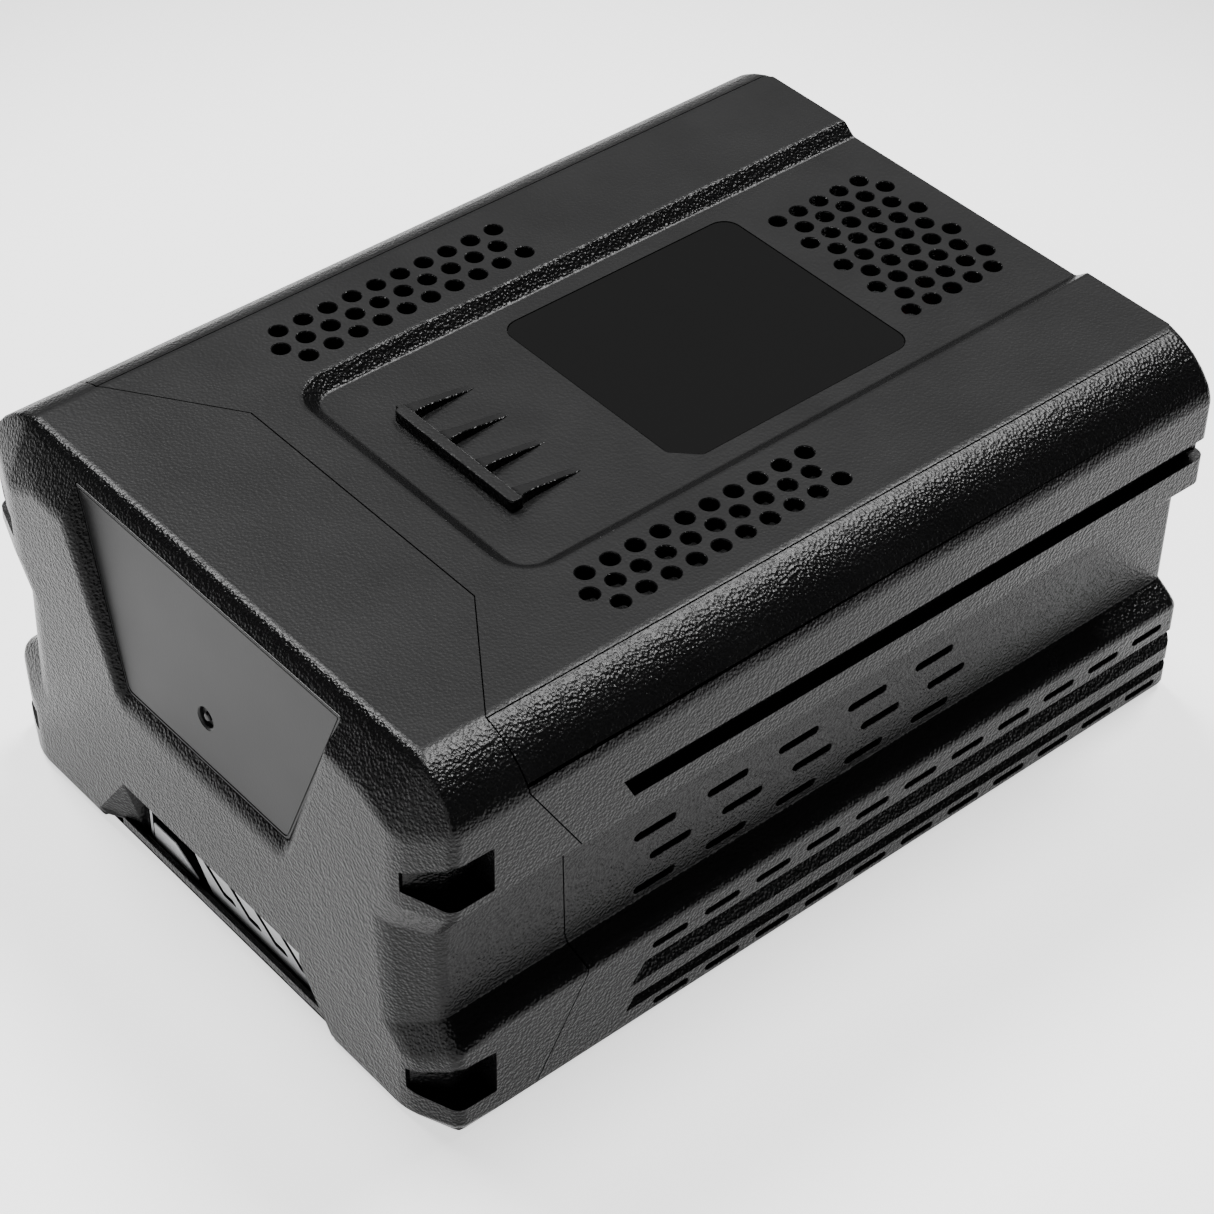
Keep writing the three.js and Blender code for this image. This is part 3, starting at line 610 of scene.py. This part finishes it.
def make_main_housing(shell):
    """The tub behind the side seam, with its slots, rear socket and screw holes."""
    housing = copy_of(shell, "main_housing_shell")
    socket = box("socket", -34, 34, 90, HALF_LENGTH + 5, 34, 54)
    boss, sink, bore = 3.8, 3.3, 1.9
    boolean(housing, screw_posts("screw_bosses", [(1, boss), (12, boss)]), "UNION")
    holes = screw_posts("screw_holes", [(-1, sink), (2.7, sink), (2.7, bore), (13, bore)])
    for tool in (front_zone(SEAM / 2), plate_zone(SEAM), side_slots(), socket, holes):
        boolean(housing, tool)
    return housing


def add_catch(bm):
    """The flat bar across the latch catch, with rounded front corners and eased top edges."""
    front, half, depth, foot, head = -37.2, 18, 2.8, RECESS_FLOOR - 0.4, HEIGHT - 0.2
    rings = []
    for z, inset in ((foot, 0), (head - 0.5, 0), (head - 0.26, 0.06), (head - 0.08, 0.22), (head, 0.5)):
        side = half - inset
        y0, y1 = front + inset, front + depth - inset * 0.6
        radii = [2.2 - inset, 2.2 - inset, 0.3, 0.3]
        outline = rounded([(-side, y0), (side, y0), (side, y1), (-side, y1)], radii)
        rings.append([(x, y, z) for x, y in outline])
    add_loft(bm, rings)


def add_catch_rib(bm, x):
    """A rib that runs back from the bar, flared at the bar and falling to the channel's floor."""
    y0, y1, foot, head = -36, -18.6, RECESS_FLOOR - 0.4, HEIGHT - 0.22
    wide, narrow, ease = 1.25, 0.9, 0.1
    rings = []
    for t in (0, 0.14, 0.3, 0.5, 0.75, 1):
        y = y0 + (y1 - y0) * t
        top = head + (RECESS_FLOOR - 0.1 - head) * max(0, (t - 0.1) / 0.9) ** 1.15
        flare = 1.0 * max(0, 1 - t / 0.3) ** 2
        half = wide + (narrow - wide) * t + flare
        rings.append([(x - half, y, foot), (x + half, y, foot), (x + half - 0.12, y, top - ease),
                      (x + half - 0.3, y, top), (x - half + 0.3, y, top), (x - half + 0.12, y, top - ease)])
    add_loft(bm, rings)


def make_top_cover(shell):
    """The top plate, with the label's bed, the latch catch and the vents, but not the CAD's screw pillars."""
    cover = copy_of(shell, "top_cover_shell")
    boolean(cover, plate_zone(0), "INTERSECT")
    bed = prism("label_bed", label_outline(0), along_z, LABEL_BED, ABOVE)
    for tool in (chevron_zone(SEAM / 2, PLATE_UNDERSIDE - 5), bed):
        boolean(cover, tool)
    bm = bmesh.new()
    add_catch(bm)
    boolean(cover, as_object("catch_bar", bm), "UNION")
    for x in (-16.3, -5.6, 5.1, 15.8):
        bm = bmesh.new()
        add_catch_rib(bm, x)
        boolean(cover, as_object("catch_rib", bm), "UNION")
    boolean(cover, vents())
    return cover


def make_label():
    """The plain plate in its bed, with an eased top edge."""
    levels = [(LABEL_BED + 0.1, 0), (LABEL_BED + 0.85, 0), (LABEL_BED + 0.93, 0.12)]
    bm = bmesh.new()
    add_loft(bm, [[(x, y, z) for x, y in label_outline(SEAM * 0.5 + extra)] for z, extra in levels])
    return as_object("label_film", bm)


def make_front_panel():
    """The satin insert, with a raised bead round its edge and a round gate mark with a nub."""
    # Each level: inset from the bed's outline, distance from the panel's plane.
    levels = [(0.15, PANEL_THICKNESS), (0.15, 0.2), (0.2, 0.06), (0.3, 0), (0.62, 0), (0.68, 0.06),
              (0.74, 0.22), (0.86, 0.22), (0.94, 0.08), (1.1, 0.04)]
    bm = bmesh.new()
    add_loft(bm, [panel_ring(PANEL_FOOT + inset, PANEL_HEAD + 0.1 - inset, -inset, 1.8, offset=offset)
                  for inset, offset in levels])
    panel = as_object("front_panel_insert", bm)
    sides = 24
    face = panel_plane(GATE_HEIGHT) + 0.06

    def turned(name, profile):
        bm = bmesh.new()
        add_loft(bm, [[(x, face + depth, z) for x, z in circle(0, GATE_HEIGHT, radius, sides)]
                      for radius, depth in profile])
        return as_object(name, bm)

    # Each profile: radius, and depth behind the panel's face.
    boolean(panel, turned("gate_dimple", [(2.1, 0.9), (2.25, 0.25), (2.4, 0.08), (2.7, -0.04), (2.75, -0.5)]))
    boolean(panel, turned("gate_nub", [(1.0, 1.0), (0.95, 0.35), (0.75, 0.15), (0.35, 0.08)]), "UNION")
    return panel


def slab(name, outline, front, back, ease=0.12, hole_outlines=()):
    """A plate facing -Y with an eased front edge, and holes through it."""
    bm = bmesh.new()
    middle = Vector((sum(x for x, z in outline), sum(z for x, z in outline))) / len(outline)

    def ring(y, inset):
        shrunk = []
        for x, z in outline:
            pull = (middle - Vector((x, z))).normalized() * inset
            shrunk.append((x + pull.x, y, z + pull.y))
        return shrunk

    slight = ease * 0.3
    add_loft(bm, [ring(back, 0), ring(front + ease, 0), ring(front + slight, slight), ring(front, ease)])
    plate = as_object(name, bm)
    for hole in hole_outlines:
        boolean(plate, prism("hole", hole, along_y, front - 1, back + 1))
    return plate


def window_outline(index, left, right, foot, head):
    """A slanted window, pulled in by the amounts given on each side."""
    start = WINDOW_START + WINDOW_PITCH * index

    def at(z):
        return start + WINDOW_LEAN * (z - WINDOW_FOOT)

    low_z, high_z = WINDOW_FOOT + foot, WINDOW_HEAD - head
    corners = [(at(low_z) + left, low_z), (at(low_z) + WINDOW_WIDTH - right, low_z),
               (at(high_z) + WINDOW_WIDTH - right, high_z), (at(high_z) + left, high_z)]
    return rounded(corners, 0.3, steps=3)


def make_gauge():
    """The grey fascia, its four slanted windows and the push button."""
    half, foot, head = GAUGE_HALF - SEAM / 2, GAUGE_FOOT + SEAM, GAUGE_HEAD - SEAM / 2
    panel = rounded([(-half, foot), (half, foot), (half, head), (-half, head)], 0.5)
    below = GAUGE_FOOT - 2
    button_hole = [(-26.9, below), (-6.3, below), (-6.3, GAUGE_FOOT), (-13.3, 9.8), (-26.9, 9.3)]
    holes = [button_hole] + [window_outline(i, 0, 0, 0, 0) for i in range(4)]
    fascia = slab("gauge_fascia", panel, GAUGE_FACE, GAUGE_FACE + 2, hole_outlines=holes)
    lenses = []
    for i in range(4):
        outline = window_outline(i, 0.95, 0.1, 0.65, 0.06)
        lenses.append(slab("gauge_lens_" + str(i + 1), outline, GAUGE_FACE + 0.25, GAUGE_FACE + 2.6))
    outline = rounded([(-26.3, foot), (-10.2, foot), (-18.6, 5.8), (-26.3, 5.8)], [0.4, 0.4, 0.8, 0.4])
    button = slab("gauge_button_cap", outline, GAUGE_FACE - 0.3, GAUGE_FACE + 1.7, ease=0.3)
    return fascia, lenses, button


# ---------- the pieces, and the CAD nodes that they replace ----------
shell = make_shell()
front_cover = make_front_cover(shell)
main_housing = make_main_housing(shell)
top_cover = make_top_cover(shell)
bpy.data.objects.remove(shell)
label = make_label()
front_panel = make_front_panel()
fascia, lenses, button = make_gauge()
pieces = [
    (front_cover, "front_cover", "shell"),
    (main_housing, "main_housing", "shell"),
    (top_cover, "top_cover", "shell"),
    (label, "label_plate", "label"),
    (front_panel, "front_panel", "panel"),
    (fascia, "gauge_panel", "gauge_grey"),
    (button, "gauge_button", "gauge_grey"),
]
for i, lens in enumerate(lenses):
    pieces.append((lens, "gauge_window_" + str(i + 1), "gauge_window"))
for piece, node, slot in pieces:
    shade(piece)
    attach(piece, "button" if piece == button else "housing")
    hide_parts(node)


# ---------- materials ----------
def add_node(tree, kind, **settings):
    """Adds a shader node, and sets its inputs and properties by name."""
    made = tree.nodes.new(kind)
    for key, value in settings.items():
        if key in made.inputs:
            made.inputs[key].default_value = value
        else:
            setattr(made, key, value)
    return made


def grained(name, colour, roughness, grain_mm, depth_mm, spread=0.12, metallic=0.0, specular=0.5,
            flat_depth=1.0, flat_roughness=None):
    """Moulded plastic: a colour that drifts slightly, mottled roughness, and a spark-eroded grain in the
    bump. flat_depth and flat_roughness are the grain's share and the roughness on flat, upward faces."""
    material = bpy.data.materials.new(name)
    material.use_nodes = True
    tree = material.node_tree
    shader = tree.nodes["Principled BSDF"]
    shader.inputs["Metallic"].default_value = metallic
    shader.inputs["Specular IOR Level"].default_value = specular
    cell = 1 / (grain_mm * MM)
    fine_ratio, fine_share, mottle = 1.6, 0.45, 0.1
    nearly_flat, flat = 0.9, 0.995
    place = add_node(tree, "ShaderNodeTexCoord")
    drift = add_node(tree, "ShaderNodeTexNoise", Scale=60.0, Detail=3.0)
    fine = add_node(tree, "ShaderNodeTexNoise", Scale=cell * fine_ratio, Detail=2.0, Roughness=0.6)
    pebble = add_node(tree, "ShaderNodeTexVoronoi", feature="SMOOTH_F1", Scale=cell, Smoothness=0.6)
    for texture in (drift, fine, pebble):
        tree.links.new(place.outputs["Object"], texture.inputs["Vector"])

    tint = add_node(tree, "ShaderNodeMapRange",
                    **{"From Min": 0.3, "From Max": 0.7, "To Min": 1 - spread, "To Max": 1 + spread})
    tree.links.new(drift.outputs["Fac"], tint.inputs["Value"])
    tinted = add_node(tree, "ShaderNodeVectorMath", operation="SCALE")
    tinted.inputs[0].default_value = colour
    tree.links.new(tint.outputs["Result"], tinted.inputs["Scale"])
    tree.links.new(tinted.outputs["Vector"], shader.inputs["Base Color"])

    facing = add_node(tree, "ShaderNodeSeparateXYZ")
    tree.links.new(place.outputs["Normal"], facing.inputs["Vector"])

    def by_flatness(on_steep, on_flat):
        blend = add_node(tree, "ShaderNodeMapRange", **{"From Min": nearly_flat, "From Max": flat,
                                                        "To Min": on_steep, "To Max": on_flat})
        tree.links.new(facing.outputs["Z"], blend.inputs["Value"])
        return blend.outputs["Result"]

    flat_gloss = (flat_roughness or roughness) - mottle / 2
    gloss = add_node(tree, "ShaderNodeMath", operation="MULTIPLY_ADD")
    gloss.inputs[1].default_value = mottle
    tree.links.new(drift.outputs["Fac"], gloss.inputs[0])
    tree.links.new(by_flatness(roughness - mottle / 2, flat_gloss), gloss.inputs[2])
    tree.links.new(gloss.outputs["Value"], shader.inputs["Roughness"])

    height = add_node(tree, "ShaderNodeMath", operation="MULTIPLY_ADD")
    height.inputs[1].default_value = fine_share
    tree.links.new(fine.outputs["Fac"], height.inputs[0])
    tree.links.new(pebble.outputs["Distance"], height.inputs[2])
    relief = add_node(tree, "ShaderNodeMath", operation="MULTIPLY")
    tree.links.new(height.outputs["Value"], relief.inputs[0])
    tree.links.new(by_flatness(1.0, flat_depth), relief.inputs[1])
    bump = add_node(tree, "ShaderNodeBump", Strength=1.0, Distance=depth_mm * MM)
    tree.links.new(relief.outputs["Value"], bump.inputs["Height"])
    tree.links.new(bump.outputs["Normal"], shader.inputs["Normal"])
    return material


def give(piece, material):
    """Makes a material the only one of a piece."""
    piece.data.materials.clear()
    piece.data.materials.append(material)


def paint_shade_on_sides(piece, shade_material):
    """Paints shade on a gauge piece's walls: they take a near-black material, so that the gaps round the
    piece read black as painted shadow.
    """
    piece.data.materials.append(shade_material)
    for polygon in piece.data.polygons:
        if abs(polygon.normal.y) < 0.2:
            polygon.material_index = 1


# Each material: name, colour, roughness, grain size and grain depth.
shell_black = grained("shell_black", (0.002, 0.002, 0.0021), 0.25, 0.62, 0.16, specular=0.12,
                      flat_depth=0.22, flat_roughness=0.36)
satin_black = grained("satin_black", (0.004, 0.004, 0.0042), 0.34, 0.4, 0.006, specular=0.14)
label_black = grained("label_black", (0.0015, 0.0015, 0.0015), 0.65, 0.2, 0.002, specular=0.03)
gauge_grey = grained("gauge_grey", (0.42, 0.425, 0.43), 0.4, 0.3, 0.008, spread=0.04, specular=0.3)
gauge_lens = grained("gauge_lens", (0.5, 0.505, 0.51), 0.25, 0.6, 0.002, spread=0.03, specular=0.35)
nylon_black = grained("nylon_black", (0.003, 0.003, 0.0034), 0.5, 0.4, 0.02, specular=0.2)
sleeve_blue = grained("sleeve_blue", (0.02, 0.11, 0.2), 0.35, 0.8, 0.01, spread=0.05)
holder_grey = grained("holder_grey", (0.05, 0.053, 0.056), 0.6, 0.5, 0.03)
board_green = grained("board_green", (0.012, 0.07, 0.024), 0.45, 0.3, 0.01, spread=0.2)
foam_grey = grained("foam_grey", (0.035, 0.036, 0.037), 0.95, 0.8, 0.2, spread=0.25, specular=0.2)
contact_brass = grained("contact_brass", (0.62, 0.4, 0.13), 0.28, 0.5, 0.004, spread=0.06, metallic=1.0)
zinc_steel = grained("zinc_steel", (0.42, 0.43, 0.44), 0.32, 0.4, 0.01, spread=0.08, metallic=1.0)
lead_black = grained("lead_black", (0.012, 0.012, 0.012), 0.5, 0.5, 0.01)
lead_red = grained("lead_red", (0.35, 0.012, 0.012), 0.45, 0.5, 0.01, spread=0.06)
for piece in (front_cover, main_housing, top_cover):
    give(piece, shell_black)
give(label, label_black)
give(front_panel, satin_black)
give(fascia, gauge_grey)
give(button, gauge_grey)
for lens in lenses:
    give(lens, gauge_lens)
# Painted shade: the side walls of the fascia, button and windows get the near-black material, so the gaps
# round them read as shadowed.
for piece in [fascia, button] + lenses:
    paint_shade_on_sides(piece, nylon_black)

# The looks of the CAD nodes, replaced ones included, by the start of their names. The rest are shell black.
NODE_LOOKS = {
    "cell_pair": sleeve_blue, "lower_cell": holder_grey, "upper_cell": holder_grey,
    "lower_insulator": foam_grey, "upper_insulator": foam_grey, "front_pad": foam_grey,
    "rear_pad": foam_grey, "control_board": board_green, "gauge_board": nylon_black, "fuse": zinc_steel,
    "housing_screw": zinc_steel, "terminal_block": nylon_black, "terminal_": contact_brass,
    "positive_lead": lead_red, "negative_lead": lead_black, "gauge_lead": lead_black,
    "gauge_panel": gauge_grey, "gauge_button": gauge_grey, "gauge_window": gauge_lens,
    "front_panel": satin_black, "label_plate": label_black, "gauge_switch": nylon_black,
    "thermistor": nylon_black,
}
for name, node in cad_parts.items():
    look = shell_black
    for start, material in NODE_LOOKS.items():
        if name.startswith(start):
            look = material
            break
    give(node, look)


# ---------- camera, floor and lights ----------
def add_camera():
    """The camera that was solved from the photo: its axes, lens and place."""
    right = Vector((0.64869, 0.76089, 0.01577))
    down = Vector((0.51474, -0.42337, -0.74553))
    forward = Vector((-0.56059, 0.49174, -0.66628))
    camera = bpy.data.objects.new("camera", bpy.data.cameras.new("camera"))
    camera.data.lens = 96.15
    camera.data.sensor_width = 36
    axes = Matrix((right, -down, -forward)).transposed().to_4x4()
    camera.matrix_world = Matrix.Translation((0.37299, -0.32486, 0.47031)) @ axes
    bpy.context.scene.collection.objects.link(camera)
    bpy.context.scene.camera = camera


def add_floor():
    """A pale floor that glows, brightest round the pack and fading away from it: its glow and its colour make
    a painted pool of light.
    """
    reach, near, far = 3000, 0.2, 0.45
    floor = box("floor", -reach, reach, -reach, reach, -4, -0.05)
    material = bpy.data.materials.new("pale_floor")
    material.use_nodes = True
    shader = material.node_tree.nodes["Principled BSDF"]
    shader.inputs["Roughness"].default_value = 0.9
    shader.inputs["Emission Color"].default_value = (1, 1, 1, 1)
    tree = material.node_tree
    place = add_node(tree, "ShaderNodeTexCoord")
    distance = add_node(tree, "ShaderNodeVectorMath", operation="LENGTH")
    tree.links.new(place.outputs["Object"], distance.inputs[0])
    # Painted light: the floor's glow and its colour are strongest near the pack and fade with distance.
    for socket, at_near, at_far in (("Emission Strength", 1.4, 0.1), ("Base Color", 0.5, 0.3)):
        fade = add_node(tree, "ShaderNodeMapRange", interpolation_type="SMOOTHSTEP",
                        **{"From Min": near, "From Max": far, "To Min": at_near, "To Max": at_far})
        tree.links.new(distance.outputs["Value"], fade.inputs["Value"])
        tree.links.new(fade.outputs["Result"], shader.inputs[socket])
    give(floor, material)


def add_sun(name, energy, towards, degrees):
    """A light that shines along a direction onto the pack, as soft as its angle is wide."""
    lamp = bpy.data.objects.new(name, bpy.data.lights.new(name, "SUN"))
    lamp.data.energy = energy
    lamp.data.angle = math.radians(degrees)
    direction = Vector(towards).normalized()
    turn = direction.to_track_quat("-Z", "Y").to_matrix().to_4x4()
    lamp.matrix_world = Matrix.Translation(-direction * 1.3) @ turn
    bpy.context.scene.collection.objects.link(lamp)


def add_world():
    """A dim, even surround."""
    world = bpy.data.worlds.new("studio")
    world.use_nodes = True
    world.node_tree.nodes["Background"].inputs["Color"].default_value = (0.12, 0.12, 0.12, 1)
    bpy.context.scene.world = world


add_camera()
add_floor()
add_world()
add_sun("rear_softbox", 6.0, (0.1, -0.49, -0.866), 18)
add_sun("left_softbox", 6.0, (0.56, -0.04, -0.83), 18)
add_sun("fill", 0.7, (0.56, -0.49, -0.67), 60)
add_sun("front_fill", 1.6, (-0.35, 0.9, -0.26), 50)
